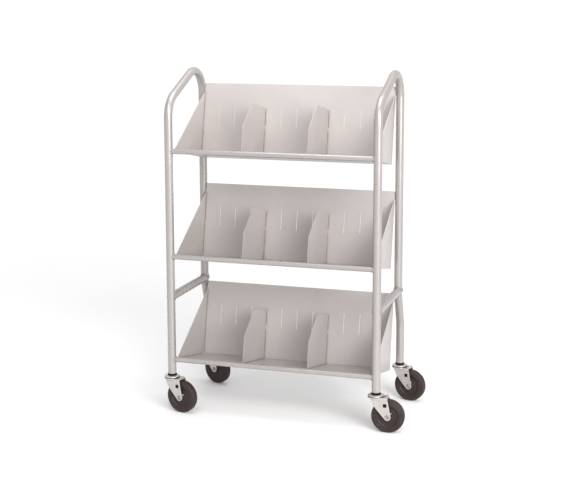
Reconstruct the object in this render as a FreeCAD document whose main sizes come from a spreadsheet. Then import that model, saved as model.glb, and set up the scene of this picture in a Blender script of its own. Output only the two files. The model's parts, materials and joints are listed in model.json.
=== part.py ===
import FreeCAD, Part
import math
import os

import Sketcher

# Book cart: two bent-tube end frames on four swivel casters, three sloped shelf
# troughs between them, and sheet dividers that hang in slots in the shelf backs.
#
# The model is laid out in the cart's own coordinates: X across the cart from its
# mid-plane, Y back from the front posts' axis, Z up from the floor. Every node is
# then shifted by (-centre_x, -centre_y), so that the origin is the middle of the
# footprint, with the casters trailing as they stand at rest.

V = FreeCAD.Vector
X_AXIS = V(1, 0, 0)
Y_AXIS = V(0, 1, 0)
Z_AXIS = V(0, 0, 1)

# Driving dimensions, in millimetres and degrees.
DIMENSIONS = {
    # Middle of the footprint, in the cart's own coordinates.
    "centre_x": 31.37,
    "centre_y": 157.97,
    # End frames, 1 inch round tube.
    "tube_od": 25.4,
    "tube_wall": 1.65,
    "post_span": 652.8,
    "post_depth": 285.5,
    "post_foot": 120.0,
    "loop_top": 1060.5,
    "bend_radius": 76.0,
    "handle_slope": 23.2,
    "brace_height": 362.5,
    "leg_setback": 36.3,
    "leg_bend_height": 248.5,
    "leg_bend_radius": 60.0,
    "leg_top_inset": 3.0,
    "cope_gap": 0.05,
    # Shelves: rail axis heights and the trough's folded sheet.
    "shelf_low": 164.1,
    "shelf_pitch": 326.1,
    "rail_od": 15.9,
    "tray_tilt": 11.8,
    "tray_depth": 238.9,
    "tray_rise": 243.2,
    "tray_lift": 1.75,
    "tray_fold": 3.0,
    "sheet": 1.2,
    "hem_depth": 12.0,
    "hem_gap": 0.6,
    "corner_cut": 4.0,
    # Triangular end panels.
    "panel_front": 9.0,
    "panel_apex": 214.0,
    "panel_apex_flat": 5.0,
    "panel_relief": 8.0,
    # Slots in the back and the dividers that hang in them.
    "slot_count": 11,
    "slot_pitch": 52.0,
    "slot_width": 1.1,
    "slot_length": 63.5,
    "slot_centre": 136.5,
    "divider_sheet": 0.8,
    "divider_slot": 2,
    "divider_front": 29.0,
    "divider_front_rise": 87.0,
    "divider_top_front": 106.0,
    "divider_top": 165.5,
    "divider_gap": 0.4,
    "divider_round": 6.0,
    "tab_low": 110.0,
    "tab_high": 154.0,
    "tab_depth": 5.0,
    "notch_low": 98.0,
    "notch_depth": 4.0,
    # Weld beads.
    "bead": 3.0,
    "back_bead": 2.8,
    "back_bead_length": 14.0,
    # Casters: heights above the floor, radii and the trail of the axle.
    "wheel_radius": 50.0,
    "wheel_width": 25.4,
    "tyre_inner": 37.0,
    "tread_round": 4.0,
    "axle_trail": 37.0,
    "axle_radius": 4.0,
    "rivet_head": 6.4,
    "rivet_rise": 2.4,
    "bushing_radius": 6.0,
    "hub_boss": 11.0,
    "hub_boss_width": 30.4,
    "hub_web": 17.0,
    "hub_rim": 30.0,
    "hub_slope": 2.0,
    "hub_inset": 1.0,
    "running_gap": 0.06,
    "fork_width": 37.2,
    "fork_sheet": 2.8,
    "fork_bend": 3.0,
    "fork_edge": 0.7,
    "crown_low": 104.5,
    "crown_thick": 3.2,
    "crown_radius": 24.6,
    "leg_end_radius": 10.5,
    "leg_front_top": -15.0,
    "leg_front_knee": -3.5,
    "leg_knee_height": 81.0,
    "leg_back_top": 36.5,
    "window_x": 29.6,
    "window_height": 85.0,
    "window_size": 9.4,
    "window_round": 1.2,
    "lip_x": 36.4,
    "lip_width": 24.0,
    "lip_top": 112.0,
    "king_radius": 5.5,
    "king_head": 9.0,
    "king_head_low": 100.7,
    "king_head_thick": 3.2,
    "sleeve_radius": 10.9,
    "sleeve_top": 165.0,
    "race_low": 109.4,
    "race_rim": 2.6,
    "race_radius": 24.0,
    "race_top": 114.2,
    "race_shoulder": 1.4,
    "collar_radius": 14.2,
    "collar_round": 1.8,
    # Rest directions in which the casters trail, counted from +X towards +Y.
    "trail_front_left": -12.5,
    "trail_front_right": 3.0,
    "trail_rear_left": -23.0,
    "trail_rear_right": -10.5,
}

SIDES = {"left": -1, "right": 1}
SHELVES = {"bottom": 0, "middle": 1, "top": 2}

doc = FreeCAD.newDocument("book_cart")
table = doc.addObject("Spreadsheet::Sheet", "Dimensions")
for row, (alias, number) in enumerate(DIMENSIONS.items(), start=1):
    table.set("A%d" % row, alias)
    table.set("B%d" % row, str(number))
    table.setAlias("B%d" % row, alias)
doc.recompute()

NODES = []


def size(alias):
    """Value of one driving dimension."""
    return float(table.get(alias))


def cell(text):
    """Expression text in which each word in braces is a cell of the spreadsheet."""
    return text.replace("{", "Dimensions.").replace("}", "")


def bind(obj, **sizes):
    """Bind properties of an object to expressions of the spreadsheet's cells."""
    for prop, text in sizes.items():
        obj.setExpression(prop, cell(text))


def keep(obj, name, placement):
    """Register an object as a node of the part and set it in its place."""
    obj.Label = name
    shift = V(-size("centre_x"), -size("centre_y"), 0)
    obj.Placement = FreeCAD.Placement(shift, FreeCAD.Rotation()) * placement
    NODES.append(obj)
    return obj


def at(x=0.0, y=0.0, z=0.0, axis=Z_AXIS, angle=0.0):
    """Placement at a point, turned by an angle in degrees about an axis."""
    return FreeCAD.Placement(V(x, y, z), FreeCAD.Rotation(axis, angle))


def near(a, b):
    return abs(a - b) < 1e-3


# ---------------------------------------------------------------- sketches


def new_body(name):
    return doc.addObject("PartDesign::Body", name + "_body")


def new_sketch(body, plane, name, offset=None):
    """Sketch on one of the body's own origin planes, raised by an expression."""
    sketch = body.newObject("Sketcher::SketchObject", name)
    support = [item for item in body.Origin.OriginFeatures if item.Role == plane][0]
    sketch.AttachmentSupport = (support, [""])
    sketch.MapMode = "FlatFace"
    if offset is not None:
        sketch.setExpression("AttachmentOffset.Base.z", cell(offset))
    return sketch


def dimension(sketch, kind, picks, value, text):
    """Add a dimension to a sketch and bind it to the spreadsheet."""
    index = sketch.addConstraint(Sketcher.Constraint(kind, *picks, value))
    sketch.setExpression("Constraints[%d]" % index, cell(text))


def polygon(sketch, corners):
    """Closed outline whose corners are (x, y) expressions."""
    count = len(corners)
    first = sketch.GeometryCount
    turn = 2.0 * math.pi / count
    guess = [V(math.cos(turn * k), math.sin(turn * k), 0) for k in range(count)]
    for k in range(count):
        sketch.addGeometry(Part.LineSegment(guess[k], guess[(k + 1) % count]))
    for k in range(count):
        edge = first + k
        following = first + (k + 1) % count
        sketch.addConstraint(Sketcher.Constraint("Coincident", edge, 2, following, 1))
    for k, (x_text, y_text) in enumerate(corners):
        dimension(sketch, "DistanceX", (-1, 1, first + k, 1), guess[k].x, x_text)
        dimension(sketch, "DistanceY", (-1, 1, first + k, 1), guess[k].y, y_text)


def circle(sketch, x_text, y_text, radius_text):
    """Circle whose centre and radius are expressions."""
    edge = sketch.addGeometry(Part.Circle(V(1, 1, 0), Z_AXIS, 1.0))
    dimension(sketch, "DistanceX", (-1, 1, edge, 3), 1.0, x_text)
    dimension(sketch, "DistanceY", (-1, 1, edge, 3), 1.0, y_text)
    dimension(sketch, "Radius", (edge,), 1.0, radius_text)


# ---------------------------------------------------------------- features


def pad(body, sketch, name, length_text, midplane=False):
    feature = body.newObject("PartDesign::Pad", name)
    feature.Profile = sketch
    feature.Midplane = midplane
    bind(feature, Length=length_text)
    return feature


def pocket_through(body, sketch, name):
    """Cut right through the body, on both sides of the sketch."""
    feature = body.newObject("PartDesign::Pocket", name)
    feature.Profile = sketch
    feature.Type = 1
    feature.Midplane = True
    return feature


def fillet(body, base, name, radius_text, test):
    """Round the edges of the base feature that pass the test."""
    doc.recompute()
    edges = ["Edge%d" % k for k, edge in enumerate(base.Shape.Edges, start=1) if test(edge)]
    if not edges:
        raise RuntimeError("no edge to round in " + name)
    feature = body.newObject("PartDesign::Fillet", name)
    feature.Base = (base, edges)
    bind(feature, Radius=radius_text)
    return feature


def is_circle(edge, radius, z=None):
    """Whether an edge is a full circle about the body's Z axis, of this radius and height."""
    curve = edge.Curve
    if not isinstance(curve, Part.Circle) or not near(curve.Radius, radius):
        return False
    return z is None or near(curve.Center.z, z)


def is_across(edge, y, z):
    """Whether the middle of an edge is at (y, z) on the body's mid-plane."""
    middle = edge.CenterOfMass
    return near(middle.x, 0) and near(middle.y, y) and near(middle.z, z)


def turned(name, corners):
    """Body turned about its own Z axis from a half-profile of (radius, height) expressions."""
    body = new_body(name)
    sketch = new_sketch(body, "XZ_Plane", name + "_profile")
    polygon(sketch, corners)
    feature = body.newObject("PartDesign::Revolution", name + "_turned")
    feature.Profile = sketch
    feature.ReferenceAxis = (sketch, ["V_Axis"])
    feature.Angle = 360.0
    return body, feature


def cylinder(name, radius_text, height_text, placement):
    tool = doc.addObject("Part::Cylinder", name)
    bind(tool, Radius=radius_text, Height=height_text)
    tool.Placement = placement
    return tool


def cut(name, base, tools):
    """Base object less one or more tools."""
    if len(tools) > 1:
        joined = doc.addObject("Part::MultiFuse", name + "_tools")
        joined.Shapes = tools
    else:
        joined = tools[0]
    result = doc.addObject("Part::Cut", name + "_cut")
    result.Base = base
    result.Tool = joined
    return result


# ---------------------------------------------------------------- end frames

POST_X = size("post_span") / 2
POST_Y = size("post_depth")
TUBE_R = size("tube_od") / 2
COPE_RADIUS = "{tube_od} / 2 + {cope_gap}"


def post_tool(name, side, rear=False):
    """Outside of a post as a cutting tool, used to cope what is welded to it."""
    y = POST_Y if rear else 0.0
    return cylinder(name, COPE_RADIUS, "{loop_top}", at(side * POST_X, y, 0))


def bend_tool(name, side):
    """Outside of an end tube's top bend as a cutting tool."""
    tool = doc.addObject("Part::Torus", name)
    bind(tool, Radius1="{bend_radius}", Radius2=COPE_RADIUS)
    radius = size("bend_radius")
    centre_z = size("loop_top") - TUBE_R - radius
    tool.Placement = at(side * POST_X, POST_Y - radius, centre_z, Y_AXIS, 90)
    return tool


def brace_tool(name, side):
    """Outside of a brace's rear end as a cutting tool."""
    place = at(side * POST_X, POST_Y - 2 * TUBE_R, size("brace_height"), X_AXIS, -90)
    return cylinder(name, COPE_RADIUS, "3 * {tube_od}", place)


def tube_profile(body, name):
    """Ring section of the frame tube at the height of its open foot."""
    sketch = new_sketch(body, "XY_Plane", name, "{post_foot}")
    for radius_text in ("{tube_od} / 2", "{tube_od} / 2 - {tube_wall}"):
        circle(sketch, "0", "0", radius_text)
    return sketch


def sweep(body, profile, path, name):
    """Hollow tube along a route of lines and tangent arcs."""
    doc.recompute()
    feature = body.newObject("PartDesign::AdditivePipe", name)
    feature.Profile = profile
    feature.Spine = (path, ["Edge%d" % (k + 1) for k in range(len(path.Shape.Edges))])
    return feature


def arc_between(start, middle, end):
    return Part.Arc(V(*start, 0), V(*middle, 0), V(*end, 0))


def end_tube(label, side):
    """One bent tube: front post, sloped handle run, tight top bend and rear post."""
    name = "end_tube_" + label
    body = new_body(name)
    path = new_sketch(body, "YZ_Plane", name + "_route")
    radius = size("bend_radius")
    slope = math.radians(size("handle_slope"))
    foot = size("post_foot")
    top_y = POST_Y - radius
    top_z = size("loop_top") - TUBE_R - radius
    corner_z = top_z + radius / math.cos(slope) - top_y * math.tan(slope)
    low_z = corner_z - radius * math.tan((math.pi / 2 - slope) / 2)
    turn = math.radians(90) - slope
    low_end = (radius - radius * math.cos(turn), low_z + radius * math.sin(turn))
    low_mid = (radius - radius * math.cos(turn / 2), low_z + radius * math.sin(turn / 2))
    high_start = (top_y - radius * math.sin(slope), top_z + radius * math.cos(slope))
    mid_angle = (math.radians(90) + slope) / 2
    high_mid = (top_y + radius * math.cos(mid_angle), top_z + radius * math.sin(mid_angle))
    brace_z = size("brace_height")
    path.addGeometry(Part.LineSegment(V(0, foot, 0), V(0, low_z, 0)))
    path.addGeometry(arc_between((0, low_z), low_mid, low_end))
    path.addGeometry(Part.LineSegment(V(*low_end, 0), V(*high_start, 0)))
    path.addGeometry(arc_between(high_start, high_mid, (POST_Y, top_z)))
    path.addGeometry(Part.LineSegment(V(POST_Y, top_z, 0), V(POST_Y, brace_z, 0)))
    # A sketch's arcs run anticlockwise and this route turns clockwise, so the route meets
    # each arc at the arc's own end point.
    path.addConstraint(Sketcher.Constraint("Tangent", 0, 2, 1, 2))
    path.addConstraint(Sketcher.Constraint("Tangent", 1, 1, 2, 1))
    path.addConstraint(Sketcher.Constraint("Tangent", 2, 2, 3, 2))
    path.addConstraint(Sketcher.Constraint("Tangent", 3, 1, 4, 1))
    path.addConstraint(Sketcher.Constraint("Vertical", 0))
    path.addConstraint(Sketcher.Constraint("Vertical", 4))
    path.addConstraint(Sketcher.Constraint("PointOnObject", 0, 1, -2))
    dimension(path, "DistanceY", (-1, 1, 0, 1), foot, "{post_foot}")
    dimension(path, "Radius", (1,), radius, "{bend_radius}")
    dimension(path, "Radius", (3,), radius, "{bend_radius}")
    dimension(path, "DistanceX", (-1, 1, 4, 2), POST_Y, "{post_depth}")
    dimension(path, "DistanceY", (-1, 1, 4, 2), brace_z, "{brace_height}")
    dimension(path, "DistanceY", (-1, 1, 3, 3), top_z, "{loop_top} - {tube_od} / 2 - {bend_radius}")
    dimension(path, "Angle", (-1, 1, 2, 1), slope, "{handle_slope} * 1 deg")
    sweep(body, tube_profile(body, name + "_section"), path, name + "_pipe")
    body.Placement = at(side * POST_X)
    result = cut(name, body, [brace_tool(name + "_cope", side)])
    return keep(result, name, at())


def brace(label, side):
    """Level tube from the front post to under the rear post, with its rear end closed."""
    name = "brace_" + label
    length = "{post_depth} + {tube_od} / 2"
    body, feature = turned(name, [
        ("{tube_od} / 2 - {tube_wall}", "0"),
        ("{tube_od} / 2", "0"),
        ("{tube_od} / 2", length),
        ("0", length),
        ("0", length + " - {tube_wall}"),
        ("{tube_od} / 2 - {tube_wall}", length + " - {tube_wall}"),
    ])
    end = size("post_depth") + TUBE_R
    fillet(body, feature, name + "_edge", "{tube_wall} * 0.8", lambda e: is_circle(e, TUBE_R, end))
    body.Placement = at(side * POST_X, 0, size("brace_height"), X_AXIS, -90)
    result = cut(name, body, [post_tool(name + "_cope", side)])
    return keep(result, name, at())


def rear_leg(label, side):
    """Set-back leg: upright over the caster, then slanted forward and up to the brace."""
    name = "rear_leg_" + label
    body = new_body(name)
    path = new_sketch(body, "YZ_Plane", name + "_route")
    foot = size("post_foot")
    corner_z = size("leg_bend_height")
    top_z = size("brace_height")
    shift = size("leg_setback") + size("leg_top_inset")
    slant = math.atan2(shift, top_z - corner_z)
    radius = size("leg_bend_radius")
    tangent = radius * math.tan(slant / 2)
    bend_low = (0.0, corner_z - tangent)
    bend_high = (-tangent * math.sin(slant), corner_z + tangent * math.cos(slant))
    bend_mid = (-radius * (1 - math.cos(slant / 2)), bend_low[1] + radius * math.sin(slant / 2))
    path.addGeometry(Part.LineSegment(V(0, foot, 0), V(*bend_low, 0)))
    path.addGeometry(arc_between(bend_low, bend_mid, bend_high))
    path.addGeometry(Part.LineSegment(V(*bend_high, 0), V(-shift, top_z, 0)))
    path.addConstraint(Sketcher.Constraint("Tangent", 0, 2, 1, 1))
    path.addConstraint(Sketcher.Constraint("Tangent", 1, 2, 2, 1))
    path.addConstraint(Sketcher.Constraint("Vertical", 0))
    path.addConstraint(Sketcher.Constraint("PointOnObject", 0, 1, -2))
    dimension(path, "DistanceY", (-1, 1, 0, 1), foot, "{post_foot}")
    dimension(path, "Radius", (1,), radius, "{leg_bend_radius}")
    dimension(path, "DistanceX", (-1, 1, 2, 2), -shift, "-{leg_setback} - {leg_top_inset}")
    dimension(path, "DistanceY", (-1, 1, 2, 2), top_z, "{brace_height}")
    slant_text = "atan2({leg_setback} + {leg_top_inset}; {brace_height} - {leg_bend_height})"
    bend_text = "{leg_bend_height} - {leg_bend_radius} * tan(%s / 2)" % slant_text
    dimension(path, "DistanceY", (-1, 1, 0, 2), bend_low[1], bend_text)
    sweep(body, tube_profile(body, name + "_section"), path, name + "_pipe")
    body.Placement = at(side * POST_X, POST_Y + size("leg_setback"))
    result = cut(name, body, [brace_tool(name + "_cope", side)])
    return keep(result, name, at())


# ---------------------------------------------------------------- shelves


def shelf_place(level, x=0.0):
    """Tray frame of one shelf: origin on the rail axis, +Y down the base, +Z up the back."""
    height = size("shelf_low") + level * size("shelf_pitch")
    return at(x, 0, height, X_AXIS, -size("tray_tilt"))


def front_rail(label, level):
    """Round bar between the front posts, coped to them."""
    name = "front_rail_" + label
    height = size("shelf_low") + level * size("shelf_pitch")
    bar = cylinder(name + "_bar", "{rail_od} / 2", "{post_span}", at(-POST_X, 0, height, Y_AXIS, 90))
    tools = [post_tool(name + "_cope_" + word, side) for word, side in SIDES.items()]
    return keep(cut(name, bar, tools), name, at())


def tray(label, level):
    """Base and back folded from one sheet, with a hemmed top edge and a row of slots."""
    name = "tray_" + label
    body = new_body(name)
    outline = new_sketch(body, "YZ_Plane", name + "_section")
    under = "{tray_lift}"
    upper = "{tray_lift} + {sheet}"
    front = "{rail_od} / 2"
    inner = "{tray_depth} - {sheet}"
    outer = "{tray_depth}"
    top = "{tray_rise}"
    hem_inner = "{tray_depth} + {hem_gap}"
    hem_outer = "{tray_depth} + {hem_gap} + {sheet}"
    hem_low = "{tray_rise} - {hem_depth}"
    polygon(outline, [
        (front, under),
        (outer, under),
        (outer, "{tray_rise} - {sheet}"),
        (hem_inner, "{tray_rise} - {sheet}"),
        (hem_inner, hem_low),
        (hem_outer, hem_low),
        (hem_outer, top),
        (inner, top),
        (inner, upper),
        (front, upper),
    ])
    width = "{post_span} - {tube_od} - 2 * {cope_gap}"
    shell = pad(body, outline, name + "_sheet", width, midplane=True)
    depth = size("tray_depth")
    gauge = size("sheet")
    low = size("tray_lift")
    rise = size("tray_rise")
    hem_face = depth + size("hem_gap") + gauge
    fold_out = fillet(body, shell, name + "_fold_outside", "{tray_fold}",
                      lambda e: is_across(e, depth, low))
    fold_in = fillet(body, fold_out, name + "_fold_inside", "{tray_fold} - {sheet}",
                     lambda e: is_across(e, depth - gauge, low + gauge))
    fillet(body, fold_in, name + "_hem_round", "{sheet}",
           lambda e: is_across(e, hem_face, rise) or is_across(e, depth - gauge, rise))

    corners = new_sketch(body, "XZ_Plane", name + "_corner_lines")
    half = "({post_span} / 2 + {tube_od})"
    above = top + " + {sheet}"
    for sign in ("-", ""):
        edge = "%s({post_span} - {tube_od}) / 2" % sign
        inset = "%s(({post_span} - {tube_od}) / 2 - {corner_cut})" % sign
        polygon(corners, [
            (inset, above),
            (sign + half, above),
            (sign + half, top + " - {corner_cut}"),
            (edge, top + " - {corner_cut}"),
        ])
    pocket_through(body, corners, name + "_corner_cuts")

    slot = new_sketch(body, "XZ_Plane", name + "_slot_line")
    left = "-({slot_count} - 1) / 2 * {slot_pitch} - {slot_width} / 2"
    right = "-({slot_count} - 1) / 2 * {slot_pitch} + {slot_width} / 2"
    slot_low = "{slot_centre} - {slot_length} / 2"
    slot_high = "{slot_centre} + {slot_length} / 2"
    polygon(slot, [(left, slot_low), (right, slot_low), (right, slot_high), (left, slot_high)])
    first = pocket_through(body, slot, name + "_first_slot")
    doc.recompute()
    row = body.newObject("PartDesign::LinearPattern", name + "_slots")
    row.Originals = [first]
    row.Direction = (slot, ["H_Axis"])
    bind(row, Length="({slot_count} - 1) * {slot_pitch}", Occurrences="{slot_count}")
    body.Tip = row
    return keep(body, name, shelf_place(level))


def end_panel(shelf, level, label, side):
    """Triangular sheet that closes one end of a trough, with a relieved fold corner."""
    name = "end_panel_%s_%s" % (shelf, label)
    body = new_body(name)
    outline = new_sketch(body, "YZ_Plane", name + "_outline")
    floor_text = "{tray_lift} + {sheet} + {cope_gap}"
    back_text = "{tray_depth} - {sheet} - {cope_gap}"
    polygon(outline, [
        ("{panel_front}", floor_text),
        (back_text + " - {panel_relief}", floor_text),
        (back_text, floor_text + " + {panel_relief}"),
        (back_text, "{panel_apex}"),
        (back_text + " - {panel_apex_flat}", "{panel_apex}"),
    ])
    panel = pad(body, outline, name + "_sheet", "{sheet}", midplane=True)
    apex = size("panel_apex")
    back = size("tray_depth") - size("sheet") - size("cope_gap")
    front = back - size("panel_apex_flat")
    fillet(body, panel, name + "_apex_round", "{panel_apex_flat} * 0.4",
           lambda e: is_across(e, back, apex) or is_across(e, front, apex))
    x = side * (POST_X - TUBE_R - size("cope_gap") - size("sheet") / 2)
    return keep(body, name, shelf_place(level, x))


def divider(shelf, level, label, side):
    """Sheet divider that stands on the base, with a tab in one of the back's slots.

    A notch under the tab clears the lower end of the slot.
    """
    name = "divider_%s_%s" % (shelf, label)
    body = new_body(name)
    outline = new_sketch(body, "YZ_Plane", name + "_outline")
    floor_text = "{tray_lift} + {sheet} + {divider_gap}"
    back_text = "{tray_depth} - {sheet} - {divider_gap}"
    tab_text = "{tray_depth} + {tab_depth}"
    polygon(outline, [
        ("{divider_front}", floor_text),
        (back_text + " - {tray_fold}", floor_text),
        (back_text, floor_text + " + {tray_fold}"),
        (back_text, "{notch_low}"),
        (back_text + " - {notch_depth}", "{notch_low}"),
        (back_text + " - {notch_depth}", "{tab_low}"),
        (tab_text, "{tab_low}"),
        (tab_text, "{tab_high}"),
        (back_text, "{tab_high}"),
        (back_text, "{divider_top}"),
        ("{divider_top_front}", "{divider_top}"),
        ("{divider_front}", "{divider_front_rise}"),
    ])
    plate = pad(body, outline, name + "_plate", "{divider_sheet}", midplane=True)
    low_corner = size("divider_front"), size("divider_front_rise")
    high_corner = size("divider_top_front"), size("divider_top")
    fillet(body, plate, name + "_corners", "{divider_round}",
           lambda e: is_across(e, *low_corner) or is_across(e, *high_corner))
    x = side * size("divider_slot") * size("slot_pitch")
    return keep(body, name, shelf_place(level, x))


# ---------------------------------------------------------------- weld beads


def weld_bead(name, first, second):
    """Weld metal in the corner round two crossing cylinders.

    Each cylinder is (radius, height, placement). The bead is what lies within the bead's
    size of both of them, less the cylinders themselves.
    """
    fat = []
    tools = []
    for word, (radius, height, placement) in (("first", first), ("second", second)):
        fat.append(cylinder("%s_fat_%s" % (name, word), radius + " + {bead}", height, placement))
        tools.append(cylinder("%s_%s" % (name, word), radius + " + {cope_gap}", height, placement))
    shared = doc.addObject("Part::Common", name + "_shared")
    shared.Base, shared.Tool = fat
    return cut(name, shared, tools)


def compound(name, pieces):
    group = doc.addObject("Part::Compound", name + "_group")
    group.Links = pieces
    return keep(group, name, at())


def post_line(side):
    """Radius, height and placement of a front post, for its weld beads."""
    return "{tube_od} / 2", "{loop_top}", at(side * POST_X)


def rail_welds():
    """Beads where the front rails meet the posts."""
    beads = []
    for shelf, level in SHELVES.items():
        height = size("shelf_low") + level * size("shelf_pitch")
        for label, side in SIDES.items():
            rail_end = at(side * POST_X, 0, height, Y_AXIS, -side * 90)
            half_rail = ("{rail_od} / 2", "{post_span} / 2", rail_end)
            beads.append(weld_bead("rail_weld_%s_%s" % (shelf, label), half_rail, post_line(side)))
    return compound("rail_welds", beads)


def frame_welds():
    """Beads where the braces meet the front posts and the rear posts meet the braces."""
    beads = []
    height = size("brace_height")
    for label, side in SIDES.items():
        x = side * POST_X
        brace_line = ("{tube_od} / 2", "{post_depth}", at(x, 0, height, X_AXIS, -90))
        beads.append(weld_bead("brace_weld_" + label, brace_line, post_line(side)))
        rear_line = ("{tube_od} / 2", "{tube_od}", at(x, POST_Y, height))
        under_end = at(x, POST_Y - 2 * TUBE_R, height, X_AXIS, -90)
        under_line = ("{tube_od} / 2", "2 * {tube_od}", under_end)
        beads.append(weld_bead("post_weld_" + label, under_line, rear_line))
    return compound("frame_welds", beads)


def back_welds():
    """Short beads that join each shelf's back to the rear posts."""
    beads = []
    for shelf, level in SHELVES.items():
        for label, side in SIDES.items():
            name = "back_weld_%s_%s" % (shelf, label)
            place = shelf_place(level, side * (POST_X - TUBE_R))
            y = size("tray_depth") + size("cope_gap")
            z = size("tray_rise") - size("hem_depth") - size("hem_gap") - size("back_bead_length")
            bead = cylinder(name + "_rod", "{back_bead}", "{back_bead_length}", place * at(0, y, z))
            sheet_slab = doc.addObject("Part::Box", name + "_slab")
            bind(sheet_slab, Length="{tube_od}", Width="{back_bead} * 2", Height="{tray_rise}")
            sheet_slab.Placement = place * at(-TUBE_R, y - 2 * size("back_bead"), 0)
            post = post_tool(name + "_post", side, rear=True)
            beads.append(cut(name, bead, [sheet_slab, post, bend_tool(name + "_bend", side)]))
    return compound("back_welds", beads)


# ---------------------------------------------------------------- casters


def caster_point(label):
    """Swivel axis of a caster, in the cart's own coordinates."""
    depth, word = label.split("_")
    y = 0.0 if depth == "front" else POST_Y + size("leg_setback")
    return SIDES[word] * POST_X, y


def caster_place(label):
    """Caster frame: origin on the floor under the swivel axis, +X the way it trails."""
    x, y = caster_point(label)
    return at(x, y, 0, Z_AXIS, size("trail_" + label))


def axle_place(label):
    """Frame on the middle of the axle, +Z along the axle."""
    return caster_place(label) * at(size("axle_trail"), 0, size("wheel_radius"), X_AXIS, 90)


def caster_stem(label):
    """King pin, riveted under the fork's crown, with the sleeve that grips inside the tube."""
    name = "stem_" + label
    head_top = "{king_head_low} + {king_head_thick}"
    body, feature = turned(name, [
        ("0", "{king_head_low}"),
        ("{king_head}", "{king_head_low}"),
        ("{king_head}", head_top),
        ("{king_radius}", head_top),
        ("{king_radius}", "{post_foot}"),
        ("{sleeve_radius}", "{post_foot}"),
        ("{sleeve_radius}", "{sleeve_top}"),
        ("0", "{sleeve_top}"),
    ])
    low = size("king_head_low")
    fillet(body, feature, name + "_head", "{king_head_thick} * 0.5",
           lambda e: is_circle(e, size("king_head"), low))
    return keep(body, name, caster_place(label))


def caster_collar(label):
    """Rubber ring between the tube's end and the raceway."""
    name = "collar_" + label
    body, feature = turned(name, [
        ("{king_radius} + {cope_gap}", "{race_top} + {cope_gap}"),
        ("{collar_radius}", "{race_top} + {cope_gap}"),
        ("{collar_radius}", "{post_foot} - {cope_gap}"),
        ("{king_radius} + {cope_gap}", "{post_foot} - {cope_gap}"),
    ])
    radius = size("collar_radius")
    fillet(body, feature, name + "_round", "{collar_round}", lambda e: is_circle(e, radius))
    return keep(body, name, caster_place(label))


def caster_race(label):
    """Pressed steel raceway cap over the fork's crown."""
    name = "raceway_" + label
    body, feature = turned(name, [
        ("{king_radius} + {cope_gap}", "{race_low}"),
        ("{race_radius}", "{race_low}"),
        ("{race_radius}", "{race_low} + {race_rim}"),
        ("{collar_radius} + {race_shoulder}", "{race_top}"),
        ("{king_radius} + {cope_gap}", "{race_top}"),
    ])
    radius = size("race_radius")
    fillet(body, feature, name + "_round", "{race_rim} * 0.45", lambda e: is_circle(e, radius))
    return keep(body, name, caster_place(label))


def fork_leg_outline(sketch):
    """Side outline of the fork: wide at the crown, tapering to a round end at the axle."""
    centre = V(size("axle_trail"), size("wheel_radius"), 0)
    radius = size("leg_end_radius")
    crown = size("crown_low") + size("crown_thick")
    knee = V(size("leg_front_knee"), size("leg_knee_height"), 0)
    front_top = V(size("leg_front_top"), crown, 0)
    back_top = V(size("leg_back_top"), crown, 0)

    def touch(point, side):
        """Point where a line from outside touches the round end."""
        away = point - centre
        spread = math.acos(radius / away.Length)
        angle = math.atan2(away.y, away.x) + side * spread
        return centre + V(math.cos(angle), math.sin(angle), 0) * radius

    front_touch = touch(knee, 1)
    back_touch = touch(back_top, -1)
    bottom = centre - V(0, radius, 0)
    sketch.addGeometry(Part.LineSegment(front_top, knee))
    sketch.addGeometry(Part.LineSegment(knee, front_touch))
    sketch.addGeometry(Part.Arc(front_touch, bottom, back_touch))
    sketch.addGeometry(Part.LineSegment(back_touch, back_top))
    sketch.addGeometry(Part.LineSegment(back_top, front_top))
    sketch.addConstraint(Sketcher.Constraint("Coincident", 0, 2, 1, 1))
    sketch.addConstraint(Sketcher.Constraint("Tangent", 1, 2, 2, 1))
    sketch.addConstraint(Sketcher.Constraint("Tangent", 2, 2, 3, 1))
    sketch.addConstraint(Sketcher.Constraint("Coincident", 3, 2, 4, 1))
    sketch.addConstraint(Sketcher.Constraint("Coincident", 4, 2, 0, 1))
    crown_text = "{crown_low} + {crown_thick}"
    dimension(sketch, "DistanceX", (-1, 1, 0, 1), front_top.x, "{leg_front_top}")
    dimension(sketch, "DistanceY", (-1, 1, 0, 1), crown, crown_text)
    dimension(sketch, "DistanceX", (-1, 1, 1, 1), knee.x, "{leg_front_knee}")
    dimension(sketch, "DistanceY", (-1, 1, 1, 1), knee.y, "{leg_knee_height}")
    dimension(sketch, "DistanceX", (-1, 1, 2, 3), centre.x, "{axle_trail}")
    dimension(sketch, "DistanceY", (-1, 1, 2, 3), centre.y, "{wheel_radius}")
    dimension(sketch, "Radius", (2,), radius, "{leg_end_radius}")
    dimension(sketch, "DistanceX", (-1, 1, 4, 1), back_top.x, "{leg_back_top}")
    dimension(sketch, "DistanceY", (-1, 1, 4, 1), crown, crown_text)


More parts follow.
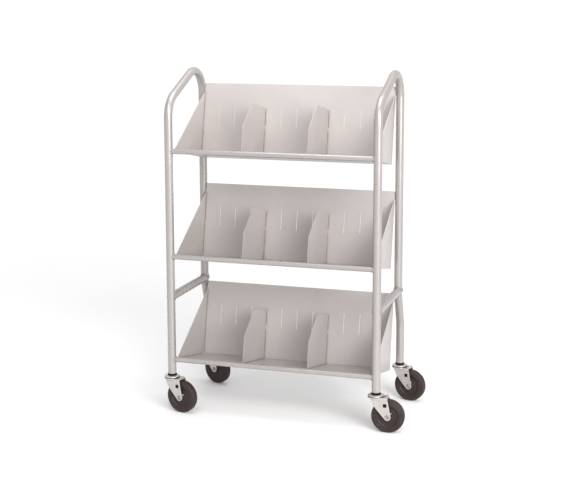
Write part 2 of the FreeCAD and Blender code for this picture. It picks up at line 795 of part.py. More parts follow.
def caster_fork(label):
    """Pressed fork: crown, two tapered legs with a square window, and a trailing lip."""
    name = "fork_" + label
    body = new_body(name)
    side_view = new_sketch(body, "XZ_Plane", name + "_side")
    fork_leg_outline(side_view)
    pad(body, side_view, name + "_block", "{fork_width}", midplane=True)

    inside = new_sketch(body, "YZ_Plane", name + "_inside")
    gap = "({fork_width} / 2 - {fork_sheet})"
    polygon(inside, [
        ("-" + gap, "0"),
        (gap, "0"),
        (gap, "{crown_low}"),
        ("-" + gap, "{crown_low}"),
    ])
    channel = pocket_through(body, inside, name + "_channel")
    half = size("fork_width") / 2
    crown_top = size("crown_low") + size("crown_thick")
    bends = fillet(body, channel, name + "_bends", "{fork_bend}",
                   lambda e: near(abs(e.CenterOfMass.y), half) and near(e.CenterOfMass.z, crown_top))
    fillet(body, bends, name + "_edges", "{fork_edge}",
           lambda e: near(abs(e.CenterOfMass.y), half) and e.CenterOfMass.z < crown_top - size("fork_bend"))

    disc = new_sketch(body, "XY_Plane", name + "_disc", "{crown_low}")
    circle(disc, "0", "0", "{crown_radius}")
    pad(body, disc, name + "_crown", "{crown_thick}")

    lip = new_sketch(body, "XY_Plane", name + "_lip_line", "{crown_low}")
    polygon(lip, [
        ("{lip_x} - {fork_sheet}", "-{lip_width} / 2"),
        ("{lip_x}", "-{lip_width} / 2"),
        ("{lip_x}", "{lip_width} / 2"),
        ("{lip_x} - {fork_sheet}", "{lip_width} / 2"),
    ])
    raised = pad(body, lip, name + "_lip", "{lip_top} - {crown_low}")
    fillet(body, raised, name + "_lip_corners", "{fork_sheet}",
           lambda e: near(e.CenterOfMass.z, size("lip_top"))
           and near(abs(e.CenterOfMass.y), size("lip_width") / 2))

    pivot = new_sketch(body, "XY_Plane", name + "_pivot_hole", "{crown_low}")
    circle(pivot, "0", "0", "{king_radius} + {running_gap}")
    pocket_through(body, pivot, name + "_pivot")

    holes = new_sketch(body, "XZ_Plane", name + "_leg_holes")
    circle(holes, "{axle_trail}", "{wheel_radius}", "{axle_radius} + {cope_gap}")
    pocket_through(body, holes, name + "_holes")

    window = new_sketch(body, "XZ_Plane", name + "_window_line")
    reach = "{window_size} / 2"
    polygon(window, [
        ("{window_x} - " + reach, "{window_height} - " + reach),
        ("{window_x} + " + reach, "{window_height} - " + reach),
        ("{window_x} + " + reach, "{window_height} + " + reach),
        ("{window_x} - " + reach, "{window_height} + " + reach),
    ])
    opened = pocket_through(body, window, name + "_window")
    corner = size("window_size") / 2
    fillet(body, opened, name + "_window_corners", "{window_round}",
           lambda e: near(abs(e.CenterOfMass.x - size("window_x")), corner)
           and near(abs(e.CenterOfMass.z - size("window_height")), corner))
    return keep(body, name, caster_place(label))


def caster_axle(label):
    """Rivet through both fork legs."""
    name = "axle_" + label
    leg = "{fork_width} / 2 + {cope_gap}"
    tip = leg + " + {rivet_rise}"
    body, feature = turned(name, [
        ("0", "-(%s)" % tip),
        ("{rivet_head}", "-(%s)" % tip),
        ("{rivet_head}", "-(%s)" % leg),
        ("{axle_radius}", "-(%s)" % leg),
        ("{axle_radius}", leg),
        ("{rivet_head}", leg),
        ("{rivet_head}", tip),
        ("0", tip),
    ])
    end = size("fork_width") / 2 + size("cope_gap") + size("rivet_rise")
    head = size("rivet_head")
    fillet(body, feature, name + "_heads", "{rivet_rise} * 0.7",
           lambda e: is_circle(e, head, end) or is_circle(e, head, -end))
    return keep(body, name, axle_place(label))


def caster_bushing(label):
    """Sleeve on the rivet, between the fork legs, that the hub turns on."""
    name = "bushing_" + label
    half = "({fork_width} / 2 - {fork_sheet} - {cope_gap})"
    body, _ = turned(name, [
        ("{axle_radius} + {cope_gap}", "-" + half),
        ("{bushing_radius}", "-" + half),
        ("{bushing_radius}", half),
        ("{axle_radius} + {cope_gap}", half),
    ])
    return keep(body, name, axle_place(label))


def caster_hub(label):
    """Wheel centre: bored boss, thin web and rim."""
    name = "hub_" + label
    bore = "{bushing_radius} + {running_gap}"
    boss = "{hub_boss_width} / 2"
    web = "{hub_web} / 2"
    rim = "({wheel_width} / 2 - {hub_inset})"
    body, _ = turned(name, [
        (bore, "-" + boss),
        ("{hub_boss}", "-" + boss),
        ("{hub_boss} + {hub_slope}", "-" + web),
        ("{hub_rim}", "-" + web),
        ("{hub_rim} + {hub_slope}", "-" + rim),
        ("{tyre_inner}", "-" + rim),
        ("{tyre_inner}", rim),
        ("{hub_rim} + {hub_slope}", rim),
        ("{hub_rim}", web),
        ("{hub_boss} + {hub_slope}", web),
        ("{hub_boss}", boss),
        (bore, boss),
    ])
    return keep(body, name, axle_place(label))


def caster_tyre(label):
    """Solid rubber tyre with a rounded tread."""
    name = "tyre_" + label
    half = "{wheel_width} / 2"
    body, feature = turned(name, [
        ("{tyre_inner}", "-" + half),
        ("{wheel_radius}", "-" + half),
        ("{wheel_radius}", half),
        ("{tyre_inner}", half),
    ])
    radius = size("wheel_radius")
    fillet(body, feature, name + "_tread", "{tread_round}", lambda e: is_circle(e, radius))
    return keep(body, name, axle_place(label))


# ---------------------------------------------------------------- assembly

for label, side in SIDES.items():
    end_tube(label, side)
    brace(label, side)
    rear_leg(label, side)

for shelf, level in SHELVES.items():
    front_rail(shelf, level)
    tray(shelf, level)
    for label, side in SIDES.items():
        end_panel(shelf, level, label, side)
        divider(shelf, level, label, side)

rail_welds()
frame_welds()
back_welds()

for label in ("front_left", "front_right", "rear_left", "rear_right"):
    caster_stem(label)
    caster_collar(label)
    caster_race(label)
    caster_fork(label)
    caster_axle(label)
    caster_bushing(label)
    caster_hub(label)
    caster_tyre(label)

doc.recompute()

for obj in doc.Objects:
    if "Invalid" in obj.State or "Error" in obj.State:
        raise RuntimeError("%s failed: %s" % (obj.Label, obj.State))
for node in NODES:
    if node.Shape.isNull() or not node.Shape.isValid():
        raise RuntimeError("bad shape in " + node.Label)

os.makedirs("parts", exist_ok=True)
whole = FreeCAD.BoundBox()
for node in NODES:
    node.Shape.exportStep("parts/%s.step" % node.Label)
    whole.add(node.Shape.optimalBoundingBox(False))
print("nodes:", len(NODES))
print("box:", whole)
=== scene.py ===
import json
import math

import bmesh
import bpy
from mathutils import Matrix, Vector


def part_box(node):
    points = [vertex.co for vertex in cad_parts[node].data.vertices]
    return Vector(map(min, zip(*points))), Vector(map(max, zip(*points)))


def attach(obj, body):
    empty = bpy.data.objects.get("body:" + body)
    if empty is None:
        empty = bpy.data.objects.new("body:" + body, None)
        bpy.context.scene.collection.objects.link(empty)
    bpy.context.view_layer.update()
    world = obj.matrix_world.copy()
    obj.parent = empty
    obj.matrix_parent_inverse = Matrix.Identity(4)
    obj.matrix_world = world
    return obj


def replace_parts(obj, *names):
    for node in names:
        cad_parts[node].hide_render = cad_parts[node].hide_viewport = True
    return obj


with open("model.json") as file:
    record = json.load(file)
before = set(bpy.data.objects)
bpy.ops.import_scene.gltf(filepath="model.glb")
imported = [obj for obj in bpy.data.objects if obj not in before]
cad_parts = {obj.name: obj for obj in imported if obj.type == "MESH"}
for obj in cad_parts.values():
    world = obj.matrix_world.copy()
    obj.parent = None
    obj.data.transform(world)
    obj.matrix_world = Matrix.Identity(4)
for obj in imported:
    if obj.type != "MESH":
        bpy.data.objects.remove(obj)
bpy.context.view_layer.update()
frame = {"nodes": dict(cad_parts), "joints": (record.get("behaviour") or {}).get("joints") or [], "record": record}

NODES = frame["nodes"]
MM = 0.001


def direction(azimuth, elevation):
    """Direction in degrees, from the cart; azimuth 0 is its front and 90 its right side."""
    a = math.radians(azimuth)
    e = math.radians(elevation)
    return Vector((math.sin(a) * math.cos(e), -math.cos(a) * math.cos(e), math.sin(e)))


# ---------------------------------------------------------------- materials


class Graph:
    """Node graph of one material, with short calls for the nodes used here."""

    def __init__(self, name):
        self.material = bpy.data.materials.new(name)
        self.material.use_nodes = True
        self.tree = self.material.node_tree
        self.shader = self.tree.nodes["Principled BSDF"]
        self.place = self.node("ShaderNodeTexCoord").outputs["Object"]

    def node(self, kind, **settings):
        item = self.tree.nodes.new(kind)
        for key, value in settings.items():
            setattr(item, key, value)
        return item

    def put(self, value, socket):
        """Link an output to a socket, or set a plain value on it."""
        if isinstance(value, bpy.types.NodeSocket):
            self.tree.links.new(value, socket)
        else:
            socket.default_value = value

    def stretched(self, scale):
        """The object's coordinates, scaled on each axis."""
        mapping = self.node("ShaderNodeMapping")
        self.put(self.place, mapping.inputs["Vector"])
        mapping.inputs["Scale"].default_value = scale
        return mapping.outputs["Vector"]

    def noise(self, scale, detail=2.0, roughness=0.5, place=None):
        item = self.node("ShaderNodeTexNoise")
        self.put(place or self.place, item.inputs["Vector"])
        item.inputs["Scale"].default_value = scale
        item.inputs["Detail"].default_value = detail
        item.inputs["Roughness"].default_value = roughness
        return item.outputs["Fac"]

    def cells(self, scale, place=None, feature="F1"):
        item = self.node("ShaderNodeTexVoronoi", feature=feature)
        self.put(place or self.place, item.inputs["Vector"])
        item.inputs["Scale"].default_value = scale
        return item

    def span(self, value, low, high, to_low=0.0, to_high=1.0, smooth=False):
        """Map a value from one range to another, with its ends held."""
        item = self.node("ShaderNodeMapRange", clamp=True)
        if smooth:
            item.interpolation_type = "SMOOTHSTEP"
        self.put(value, item.inputs["Value"])
        item.inputs["From Min"].default_value = low
        item.inputs["From Max"].default_value = high
        self.put(to_low, item.inputs["To Min"])
        self.put(to_high, item.inputs["To Max"])
        return item.outputs["Result"]

    def math(self, operation, a, b=0.0):
        item = self.node("ShaderNodeMath", operation=operation)
        self.put(a, item.inputs[0])
        self.put(b, item.inputs[1])
        return item.outputs[0]

    def mix(self, factor, a, b):
        """Blend of two colours."""
        item = self.node("ShaderNodeMix", data_type="RGBA")
        self.put(factor, item.inputs["Factor"])
        self.put(a, item.inputs["A"])
        self.put(b, item.inputs["B"])
        return item.outputs["Result"]

    def bump(self, height, distance, strength=1.0, under=None):
        item = self.node("ShaderNodeBump")
        self.put(height, item.inputs["Height"])
        item.inputs["Distance"].default_value = distance
        item.inputs["Strength"].default_value = strength
        if under is not None:
            self.put(under, item.inputs["Normal"])
        return item.outputs["Normal"]

    def edges(self, radius):
        """1 on sharp edges and 0 on flat faces."""
        soft = self.node("ShaderNodeBevel", samples=4)
        soft.inputs["Radius"].default_value = radius
        straight = self.node("ShaderNodeNewGeometry").outputs["Normal"]
        product = self.node("ShaderNodeVectorMath", operation="DOT_PRODUCT")
        self.put(soft.outputs["Normal"], product.inputs[0])
        self.put(straight, product.inputs[1])
        return self.span(product.outputs["Value"], 0.97, 0.8, 0.0, 1.0)

    def crevices(self, reach):
        """1 deep in corners and gaps, and 0 on open faces: the mask for painted shade."""
        item = self.node("ShaderNodeAmbientOcclusion", samples=6)
        item.inputs["Distance"].default_value = reach
        return self.span(item.outputs["AO"], 0.92, 0.5, 0.0, 1.0)

    def finish(self, **inputs):
        for key, value in inputs.items():
            self.put(value, self.shader.inputs[key.replace("_", " ")])
        return self.material


def grey(value, tint=(1.0, 1.0, 1.0)):
    """Opaque colour near grey, with a slight tint."""
    return tuple(min(value * part, 1.0) for part in tint) + (1.0,)


PAINT_TINT = (1.075, 1.0, 0.975)
ZINC_TINT = (1.07, 1.0, 0.96)
# Tint of dirt, and of the shade painted into crevices.
DIRT_AND_SHADE_TINT = (1.12, 1.0, 0.86)
WHEEL_TINT = (1.65, 1.0, 1.0)


def paint(name, value, metal, rough, wear, rubbed=0.3):
    """Baked silver-grey paint: flake, orange peel, slow drift of tone, scuffs, rubbed edges, and shade painted
    into the crevices.
    """
    g = Graph(name)
    drift = g.noise(4.0, 3.0, 0.55)
    blotch = g.noise(38.0, 4.0, 0.6)
    flake = g.cells(2600.0).outputs["Distance"]
    low = grey(value * 0.95, PAINT_TINT)
    high = grey(value * 1.03, PAINT_TINT)
    tone = g.mix(g.span(drift, 0.3, 0.7), low, high)
    tone = g.mix(g.span(blotch, 0.45, 0.75, 0.0, 0.35), tone, grey(value * 0.9, DIRT_AND_SHADE_TINT))
    tone = g.mix(g.span(flake, 0.0, 0.5, 0.14, 0.0), tone, grey(value * 1.5, PAINT_TINT))
    cracks = g.cells(30.0, g.stretched((9.0, 1.0, 1.0)), "DISTANCE_TO_EDGE")
    scratch = g.span(cracks.outputs["Distance"], 0.0, 0.012, 1.0, 0.0)
    scuffed_areas = g.span(g.noise(7.0, 2.0, 0.6), 0.55, 0.68, 0.0, wear)
    scuff = g.math("MULTIPLY", scratch, scuffed_areas)
    tone = g.mix(scuff, tone, grey(value * 0.6))
    rubbed_areas = g.span(g.noise(48.0, 4.0, 0.65), 0.4, 0.7, 0.1, rubbed)
    edge = g.math("MULTIPLY", g.edges(0.0012), rubbed_areas)
    tone = g.mix(edge, tone, grey(value * 1.55, ZINC_TINT))
    # Painted shade: darker in corners, gaps and seams where parts shade each other, varied by the blotches.
    grime_and_painted_shade = g.math("MULTIPLY", g.crevices(0.007), g.span(blotch, 0.3, 0.6, 0.5, 0.85))
    tone = g.mix(grime_and_painted_shade, tone, grey(value * 0.35, DIRT_AND_SHADE_TINT))
    roughness = g.span(g.noise(22.0, 3.0, 0.5), 0.3, 0.75, rough - 0.015, rough + 0.025)
    normal = g.bump(g.noise(520.0, 2.0, 0.45), 0.00002, 0.3)
    normal = g.bump(g.noise(2400.0, 1.0, 0.5), 0.00001, 0.2, normal)
    normal = g.bump(scuff, 0.00002, -0.3, normal)
    return g.finish(
        Base_Color=tone, Metallic=metal, Roughness=roughness, Normal=normal,
        Coat_Weight=0.12, Coat_Roughness=0.22,
    )


def zinc(name, value, rough, dirt):
    """Zinc plate: cloudy grain, drawn lines, dirt in patches, edges painted brighter as a highlight and as
    rubbing, and shade painted into the crevices.
    """
    g = Graph(name)
    cloud = g.noise(90.0, 5.0, 0.6)
    mottle = g.noise(22.0, 3.0, 0.6)
    spangle = g.node("ShaderNodeSeparateColor")
    g.put(g.cells(420.0).outputs["Color"], spangle.inputs[0])
    tone = g.mix(g.span(cloud, 0.3, 0.72), grey(value * 0.82, ZINC_TINT), grey(value, ZINC_TINT))
    tone = g.mix(g.math("MULTIPLY", spangle.outputs["Red"], 0.2), tone, grey(value * 0.7))
    tone = g.mix(g.span(mottle, 0.42, 0.68, 0.0, dirt), tone, grey(value * 0.75, ZINC_TINT))
    lines = g.noise(160.0, 3.0, 0.6, g.stretched((1.0, 1.0, 14.0)))
    grime_and_painted_shade = g.span(g.noise(55.0, 4.0, 0.7), 0.56, 0.8, 0.0, dirt)
    tone = g.mix(grime_and_painted_shade, tone, grey(value * 0.4, DIRT_AND_SHADE_TINT))
    # Painted highlight along the edges, with some rubbing.
    tone = g.mix(g.edges(0.0011), tone, grey(value * 1.25, ZINC_TINT))
    # Painted shade in corners and gaps.
    tone = g.mix(g.math("MULTIPLY", g.crevices(0.006), 0.8), tone, grey(value * 0.2, DIRT_AND_SHADE_TINT))
    roughness = g.span(g.math("ADD", cloud, lines), 0.6, 1.5, rough - 0.07, rough + 0.1)
    normal = g.bump(lines, 0.00003, 0.5)
    normal = g.bump(g.noise(1300.0, 2.0), 0.00002, 0.4, normal)
    return g.finish(Base_Color=tone, Metallic=0.85, Roughness=roughness, Normal=normal)


def rubber(name, value, rough, dust, shine=0.25):
    """Dark moulded rubber or plastic, with pores and a little dust in patches."""
    g = Graph(name)
    cloud = g.noise(70.0, 4.0, 0.6)
    low = grey(value * 0.85, WHEEL_TINT)
    high = grey(value * 1.2, WHEEL_TINT)
    tone = g.mix(g.span(cloud, 0.3, 0.7), low, high)
    grime_and_painted_shade = g.span(g.noise(240.0, 5.0, 0.7), 0.5, 0.78, 0.0, dust)
    tone = g.mix(grime_and_painted_shade, tone, grey(value * 4.0, DIRT_AND_SHADE_TINT))
    # Painted highlight along the edges and rings, with some wear.
    tone = g.mix(g.edges(0.0014), tone, grey(value * 1.5, WHEEL_TINT))
    roughness = g.span(cloud, 0.3, 0.7, rough - 0.06, rough + 0.08)
    normal = g.bump(g.noise(1100.0, 2.0, 0.5), 0.00006, 0.5)
    normal = g.bump(g.noise(210.0, 3.0), 0.00012, 0.35, normal)
    return g.finish(
        Base_Color=tone, Roughness=roughness, Normal=normal, Specular_IOR_Level=shine,
    )


FINISHES = {
    "frame_paint": paint("frame_paint", 0.32, 0.45, 0.28, 0.08),
    "shelf_paint": paint("shelf_paint", 0.415, 0.3, 0.42, 0.8),
    "divider_paint": paint("divider_paint", 0.405, 0.3, 0.42, 0.6),
    "weld_paint": paint("weld_paint", 0.31, 0.5, 0.36, 0.0),
    "zinc_steel": zinc("zinc_steel", 0.57, 0.36, 0.6),
    "bright_steel": zinc("bright_steel", 0.68, 0.3, 0.2),
    "rivet_steel": zinc("rivet_steel", 0.34, 0.34, 0.5),
    "collar_rubber": rubber("collar_rubber", 0.004, 0.75, 0.04, 0.12),
    "wheel_core": rubber("wheel_core", 0.015, 0.42, 0.12),
    "wheel_rubber": rubber("wheel_rubber", 0.0165, 0.5, 0.16),
}


def give_finish(piece, slot, finish=None):
    """Put one finish on a piece: the given finish, or else the slot's own."""
    piece.data.materials.append(FINISHES[finish or slot])


for subpart in frame["record"]["subparts"]:
    for material_slot in NODES[subpart["node"]].material_slots:
        material_slot.material = FINISHES[subpart["material_slot"]]


# ---------------------------------------------------------------- detailed pieces

SHARP = 38.0  # degrees between faces, above which an edge stays sharp
BEAD_SHARP = 50.0

def finished(name, bm, slot, body, sharp=SHARP, finish=None):
    """Object made from a bmesh, smooth except at its sharp edges, that moves with a body."""
    bmesh.ops.remove_doubles(bm, verts=bm.verts, dist=1e-6)
    bmesh.ops.recalc_face_normals(bm, faces=bm.faces)
    mesh = bpy.data.meshes.new(name)
    bm.to_mesh(mesh)
    bm.free()
    mesh.shade_smooth()
    mesh.set_sharp_from_angle(angle=math.radians(sharp))
    piece = bpy.data.objects.new(name, mesh)
    bpy.context.scene.collection.objects.link(piece)
    give_finish(piece, slot, finish)
    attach(piece, body)
    return piece


def skin(bm, rings, closed=True):
    """Quads between neighbouring rings of points, all of the same count."""
    rows = [[bm.verts.new(point) for point in ring] for ring in rings]
    for k in range(len(rows) if closed else len(rows) - 1):
        here, there = rows[k], rows[(k + 1) % len(rows)]
        for j in range(len(here)):
            after = (j + 1) % len(here)
            bm.faces.new((here[j], here[after], there[after], there[j]))
    return rows


def lathe(bm, profile, centre, axis, steps):
    """Solid of revolution; the profile is a closed outline of (radius, along axis) in mm."""
    axis = axis.normalized()
    first = axis.cross(Vector((0.31, 0.42, 1.0))) if abs(axis.z) > 0.9 else Vector((0, 0, 1))
    first = (first - axis * first.dot(axis)).normalized()
    second = axis.cross(first)
    rings = []
    for k in range(steps):
        turn = 2 * math.pi * k / steps
        out = first * math.cos(turn) + second * math.sin(turn)
        rings.append([centre + (out * radius + axis * along) * MM for radius, along in profile])
    skin(bm, rings)


def arc(centre, radius, start, stop, count):
    """Points of an arc in a profile, with angles in degrees from the radius direction."""
    turns = [math.radians(start + (stop - start) * k / count) for k in range(count + 1)]
    return [(centre[0] + radius * math.cos(t), centre[1] + radius * math.sin(t)) for t in turns]


def both_faces(outline):
    """Closed profile from the outline of one face of a wheel, mirrored onto the other face."""
    return outline + [(radius, -along) for radius, along in reversed(outline)]


# Weld beads, laid as overlapping ripples along the line where two tubes meet.

RIPPLE = 1.9
BEAD = 1.75
FRAME_BEAD = BEAD * 1.15
BEAD_SIDES = 12
BEAD_LIFT = 0.25  # of the bead's size, by which its middle stands off the line


def bead(bm, line, size, seed):
    """Rippled bead along a closed line of (point, outward direction), in metres."""
    points = [point for point, _ in line]
    count = len(points)
    travelled = 0.0
    rings = []
    for k, (point, outward) in enumerate(line):
        ahead = (points[(k + 1) % count] - points[k - 1]).normalized()
        side = ahead.cross(outward).normalized()
        lift = side.cross(ahead)
        ripple = (travelled / (RIPPLE * MM)) % 1.0
        uneven = 0.05 * math.sin(seed + travelled * 830.0)
        uneven += 0.04 * math.sin(seed * 3 + travelled * 1900.0)
        swell = (0.88 + 0.20 * math.sqrt(1.0 - ripple)) * (1.0 + uneven)
        middle = point + lift * (BEAD_LIFT * size * MM)
        ring = []
        for j in range(BEAD_SIDES):
            turn = 2 * math.pi * j / BEAD_SIDES
            around = side * math.cos(turn) + lift * math.sin(turn)
            ring.append(middle + around * (size * swell * MM))
        rings.append(ring)
        travelled += (points[(k + 1) % count] - point).length
    skin(bm, rings)


def tube_meeting(centre, along, radius, across, wide, count=220):
    """Line where a tube along one direction runs into a wider or equal tube along another.

    The centre is where the two axes cross, and the thin tube leaves the wide one towards
    the along direction.
    """
    third = along.cross(across)
    line = []
    for k in range(count):
        turn = 2 * math.pi * k / count
        around = across * math.cos(turn) + third * math.sin(turn)
        sideways = radius * math.sin(turn)
        reach = math.sqrt(max(wide * wide - sideways * sideways, 0.0))
        point = centre + around * radius + along * reach
        from_wide = (along * reach + third * sideways).normalized()
        line.append((point, (around + from_wide).normalized()))
    return line


def middle_and_half(node):
    """Middle of a node's box, and half its size each way."""
    low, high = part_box(node)
    return (low + high) / 2, (high - low) / 2


UP = Vector((0, 0, 1))
RIGHT = Vector((1, 0, 0))
BACK = Vector((0, 1, 0))

rail_beads = bmesh.new()
frame_beads = bmesh.new()
for number, (side, sign) in enumerate((("left", -1), ("right", 1))):
    frame_middle, frame_half = middle_and_half("end_tube_" + side)
    post_x = frame_middle.x
    tube = frame_half.x
    for level in ("bottom", "middle", "top"):
        rail_middle, rail_half = middle_and_half("front_rail_" + level)
        meet = Vector((post_x, rail_middle.y, rail_middle.z))
        line = tube_meeting(meet, RIGHT * -sign, rail_half.z, UP, tube)
        bead(rail_beads, line, BEAD, 2.0 * number + rail_middle.z * 7.0)
    brace_middle, _ = middle_and_half("brace_" + side)
    front_y = middle_and_half("front_rail_top")[0].y
    rear_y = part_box("end_tube_" + side)[1].y - tube
    front_meet = Vector((post_x, front_y, brace_middle.z))
    bead(frame_beads, tube_meeting(front_meet, BACK, tube, UP, tube), FRAME_BEAD, 1.3 + number)
    rear_meet = Vector((post_x, rear_y, brace_middle.z))
    bead(frame_beads, tube_meeting(rear_meet, UP, tube, BACK, tube), FRAME_BEAD, 4.1 + number)
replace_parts(finished("rail_weld_beads", rail_beads, "weld_paint", "frame", BEAD_SHARP),
            "rail_welds")
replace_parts(finished("frame_weld_beads", frame_beads, "weld_paint", "frame", BEAD_SHARP),
            "frame_welds")


# Wheels: a moulded core with a ring on its web, and a solid tyre with a raised ring on each
# wall, rounded shoulders and a fine mould line round the middle of its tread.

TYRE_WALL = [
    (37.0, 11.5), (37.2, 11.8), (38.1, 11.8), (38.5, 12.3), (39.0, 12.65), (40.4, 12.65),
    (41.0, 12.3), (41.6, 11.95), (45.6, 11.85),
] + arc((45.6, 7.85), 4.0, 78.0, 12.0, 7) + [
    (49.75, 7.2), (49.85, 4.0), (49.85, 0.5), (50.0, 0.2),
]
CORE_WALL = [
    (6.06, 14.9), (6.4, 15.2), (10.3, 15.2), (10.9, 14.6), (11.6, 10.2), (12.3, 9.0), (13.4, 8.5),
    (20.4, 8.5), (20.9, 9.1), (21.5, 9.3), (22.5, 9.3), (23.1, 9.1), (23.6, 8.5),
    (28.8, 8.5), (30.0, 8.9), (31.0, 10.2), (31.8, 11.3), (32.8, 11.65), (36.2, 11.65),
    (36.9, 11.2),
]
NIPPLE = [
    (0.0, 10.4), (1.9, 10.4), (1.9, 12.6), (1.2, 13.2), (1.0, 14.2), (1.7, 14.9), (1.7, 16.0),
    (1.1, 17.0), (0.0, 17.3),
]
RIVET = [
    (4.0, 18.6), (6.2, 18.66), (6.4, 18.9), (6.3, 19.9), (5.8, 20.7), (4.9, 21.05),
    (4.0, 20.9), (3.2, 20.2), (2.3, 19.8), (0.0, 19.7),
]
WINDOW = {"along": 29.6, "height": 85.0, "corner": 1.3, "inner": 16.2}
SHADE_PLUG = (
    (0.0, 3.6), (0.4, 4.4), (2.45, 4.4), (2.45, 5.1), (2.75, 5.2), (3.0, 5.0), (3.1, 4.5),
    (3.0, 0.5),
)
# Profile of a black ring in the raceway gap: painted shade that makes the gap line dark.
RACE_GAP_SHADE = [(20.6, 107.8), (23.3, 107.8), (23.5, 108.2), (23.5, 108.9), (23.3, 109.3), (20.6, 109.3)]


def window_shade_plug(bm, pivot, trail, across):
    """Black square plug in the window of one fork leg, with a flange on the outer face: painted shade standing in
    for the dark seen through the window.
    """
    centre = pivot + trail * (WINDOW["along"] * MM)
    centre.z = WINDOW["height"] * MM
    rings = []
    for depth, half in SHADE_PLUG:
        inset = min(WINDOW["corner"], half * 0.5)
        ring = []
        for quarter in range(4):
            for step in range(4):
                turn = math.radians(90 * quarter + 30 * step)
                u = math.copysign(half - inset, math.cos(math.radians(90 * quarter + 45)))
                w = math.copysign(half - inset, math.sin(math.radians(90 * quarter + 45)))
                u += inset * math.cos(turn)
                w += inset * math.sin(turn)
                outward = across * (WINDOW["inner"] + depth)
                ring.append(centre + (trail * u + UP * w + outward) * MM)
        rings.append(ring)
    rows = skin(bm, rings, closed=False)
    bm.faces.new(rows[0])
    bm.faces.new(rows[-1])


JOINTS = {joint["name"]: joint for joint in frame["joints"]}
LEVEL = Vector((1, 1, 0))  # keeps the level part of a vector
NIPPLE_OUT = 12.4
NIPPLE_LEAN, NIPPLE_LEAN_STEP = 42.0, 5.0

for number, place in enumerate(("front_left", "front_right", "rear_left", "rear_right")):
    axle = Vector(JOINTS["spin_" + place]["pos_m"])
    across = Vector(JOINTS["spin_" + place]["axis"])
    pivot = Vector(JOINTS["swivel_" + place]["pos_m"])
    trail = ((axle - pivot) * LEVEL).normalized()
    near_side = across if across.y < 0 else -across
    wheel = "wheel_" + place
    caster = "caster_" + place

    tyre = bmesh.new()
    lathe(tyre, both_faces(TYRE_WALL), axle, across, 128)
    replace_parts(finished("solid_tyre_" + place, tyre, "wheel_rubber", wheel), "tyre_" + place)

    core = bmesh.new()
    lathe(core, both_faces(CORE_WALL), axle, across, 96)
    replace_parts(finished("wheel_core_" + place, core, "wheel_core", wheel), "hub_" + place)

    nipple = bmesh.new()
    lean = math.radians(NIPPLE_LEAN + NIPPLE_LEAN_STEP * number)
    stand = trail * math.cos(lean) + UP * math.sin(lean)
    lathe(nipple, NIPPLE, axle + near_side * (NIPPLE_OUT * MM), stand, 20)
    finished("grease_nipple_" + place, nipple, "bright_steel", wheel)

    rivet = bmesh.new()
    lathe(rivet, both_faces(RIVET), axle, across, 48)
    rolled = finished("rolled_rivet_" + place, rivet, "bright_steel", caster, finish="rivet_steel")
    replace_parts(rolled, "axle_" + place)

    # Painted shade: the black ring darkens the raceway gap.
    gap_shade = bmesh.new()
    lathe(gap_shade, RACE_GAP_SHADE, pivot * LEVEL, UP, 96)
    finished("race_gap_shade_" + place, gap_shade, "collar_rubber", caster)

    # Painted shade: black plugs fill both fork windows.
    shade_plugs = bmesh.new()
    window_shade_plug(shade_plugs, pivot, trail, across)
    window_shade_plug(shade_plugs, pivot, trail, -across)
    finished("window_shade_plugs_" + place, shade_plugs, "collar_rubber", caster)


# ---------------------------------------------------------------- stage, light, camera

FLOOR_REACH = 300.0
FLOOR_NEAR, FLOOR_FAR = 1.0, 5.0  # where the floor starts and stops getting lighter
FAR_LIGHT_WIDTH = 35.0
SOFT_BOX = 1.2
CART_MIDDLE = (0.0, 0.0, 0.6)

def floor_material():
    """Plain pale floor, painted a little darker around the cart, which deepens the cart's shadow, and lighter far
    off.
    """
    g = Graph("studio_floor")
    distance = g.node("ShaderNodeVectorMath", operation="LENGTH")
    g.put(g.place, distance.inputs[0])
    near = g.mix(g.span(g.noise(3.0, 3.0), 0.3, 0.7), grey(0.775), grey(0.785))
    tone = g.mix(g.span(distance.outputs["Value"], FLOOR_NEAR, FLOOR_FAR, smooth=True),
                 near, grey(0.92))
    return g.finish(Base_Color=tone, Roughness=0.75)


def studio_floor(reach):
    """Wide level floor under the cart."""
    mesh = bpy.data.meshes.new("studio_floor")
    corners = [(-reach, -reach, 0), (reach, -reach, 0), (reach, reach, 0), (-reach, reach, 0)]
    mesh.from_pydata(corners, [], [(0, 1, 2, 3)])
    mesh.materials.append(floor_material())
    floor = bpy.data.objects.new("studio_floor", mesh)
    bpy.context.scene.collection.objects.link(floor)


def soft_light(name, place, target, width, power):
    """Square soft box aimed at a point."""
    lamp = bpy.data.lights.new(name, "AREA")
    lamp.shape = "SQUARE"
    lamp.size = width
    lamp.energy = power
    thing = bpy.data.objects.new(name, lamp)
    thing.location = place
    thing.rotation_euler = (Vector(target) - Vector(place)).to_track_quat("-Z", "Y").to_euler()
    bpy.context.scene.collection.objects.link(thing)


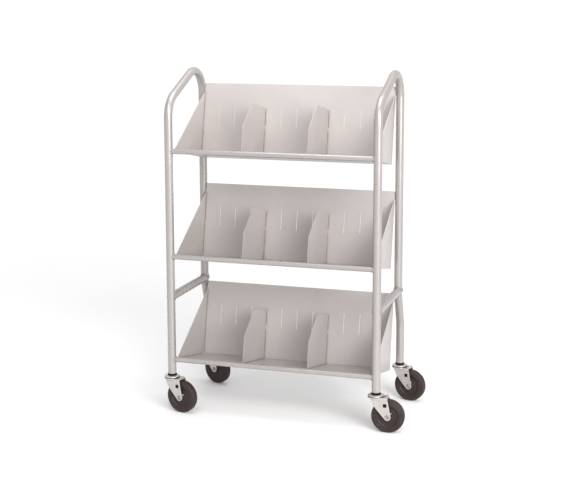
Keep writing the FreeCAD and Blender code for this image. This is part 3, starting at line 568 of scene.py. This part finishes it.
def far_light(name, azimuth, elevation, strength):
    """Large distant soft light."""
    lamp = bpy.data.lights.new(name, "SUN")
    lamp.energy = strength
    lamp.angle = math.radians(FAR_LIGHT_WIDTH)
    thing = bpy.data.objects.new(name, lamp)
    toward = direction(azimuth, elevation)
    thing.rotation_euler = (-toward).to_track_quat("-Z", "Y").to_euler()
    bpy.context.scene.collection.objects.link(thing)


def studio_world(strength):
    """Surroundings that look white and light the cart at the given strength."""
    world = bpy.data.worlds.new("studio")
    world.use_nodes = True
    tree = world.node_tree
    seen = tree.nodes.new("ShaderNodeMath")
    seen.operation = "MULTIPLY_ADD"
    tree.links.new(tree.nodes.new("ShaderNodeLightPath").outputs["Is Camera Ray"], seen.inputs[0])
    seen.inputs[1].default_value = 1.0 - strength
    seen.inputs[2].default_value = strength
    background = tree.nodes["Background"]
    background.inputs["Color"].default_value = (1.0, 1.0, 1.0, 1.0)
    tree.links.new(seen.outputs[0], background.inputs["Strength"])
    bpy.context.scene.world = world


def studio_camera(place, azimuth, elevation, roll, lens, shift):
    """Camera that looks back along a direction, turned by a small roll in degrees."""
    back = direction(azimuth, elevation)
    right = Vector((math.cos(math.radians(azimuth)), math.sin(math.radians(azimuth)), 0))
    up = back.cross(right)
    turn = Matrix.Rotation(math.radians(roll), 4, "Z")
    frame_axes = Matrix((right, up, back)).transposed().to_4x4()
    lens_data = bpy.data.cameras.new("studio_camera")
    lens_data.sensor_width = 36.0
    lens_data.lens = lens
    lens_data.shift_x, lens_data.shift_y = shift
    camera = bpy.data.objects.new("studio_camera", lens_data)
    camera.matrix_world = Matrix.Translation(place) @ frame_axes @ turn
    bpy.context.scene.collection.objects.link(camera)
    bpy.context.scene.camera = camera


studio_floor(FLOOR_REACH)
studio_world(0.78)
far_light("key", 40.0, 20.0, 2.0)
far_light("high_front", 10.0, 45.0, 0.85)
soft_light("overhead", (0.0, 0.0, 2.2), CART_MIDDLE, SOFT_BOX, 16.0)
soft_light("front_right", (1.9, -1.6, 1.2), CART_MIDDLE, SOFT_BOX, 35.4)
studio_camera(place=(1.14194, -3.67610, 1.28868), azimuth=17.559, elevation=8.866, roll=-0.124,
              lens=78.352, shift=(0.0, -0.1026))

bpy.context.scene.view_settings.view_transform = "Standard"

bpy.context.view_layer.update()
